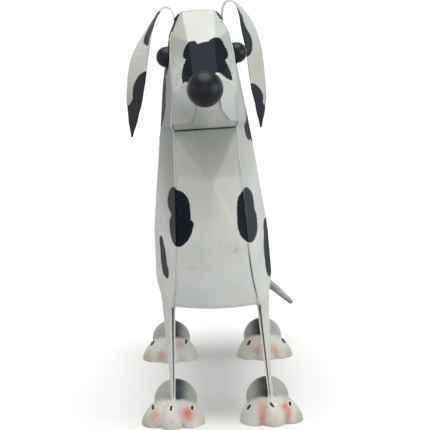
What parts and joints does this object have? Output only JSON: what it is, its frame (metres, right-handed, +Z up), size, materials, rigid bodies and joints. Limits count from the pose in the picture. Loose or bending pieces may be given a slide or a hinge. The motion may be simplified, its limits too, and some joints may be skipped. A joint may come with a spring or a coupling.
{
  "type": "sheet metal dog sculpture",
  "caption": "Standing sheet-metal dog with a folded hollow body, folded channel legs on rounded paws, strip ears, ball nose, ball eyes and a curved tail, in spotted enamel.",
  "frame": {"origin": "on the floor, under the middle of the dog's bounding box", "axes": "+Z up, the dog looks along -Y, +X towards the dog's own left"},
  "size_m": [0.2006, 0.4618, 0.465],
  "materials": {
    "white_enamel": "semi-gloss white enamel with black spots",
    "black_enamel": "gloss black enamel",
    "grey_enamel": "satin grey enamel",
    "paw_enamel": "semi-gloss off-white enamel with airbrushed shading"
  },
  "bodies": {
    "root": {"head_shell": "white_enamel", "chin_plate": "white_enamel", "chest_panel": "white_enamel", "side_panel_right": "white_enamel", "side_panel_left": "white_enamel", "back_panel": "white_enamel", "belly_panel": "white_enamel", "ear_right": "white_enamel", "ear_left": "white_enamel", "nose_ball": "black_enamel", "eye_right": "black_enamel", "eye_left": "black_enamel", "front_leg_right": "white_enamel", "front_leg_left": "white_enamel", "rear_leg_right": "white_enamel", "rear_leg_left": "white_enamel", "paw_front_right": "paw_enamel", "paw_front_left": "paw_enamel", "paw_rear_right": "paw_enamel", "paw_rear_left": "paw_enamel", "tail": "grey_enamel"}
  },
  "joints": []
}
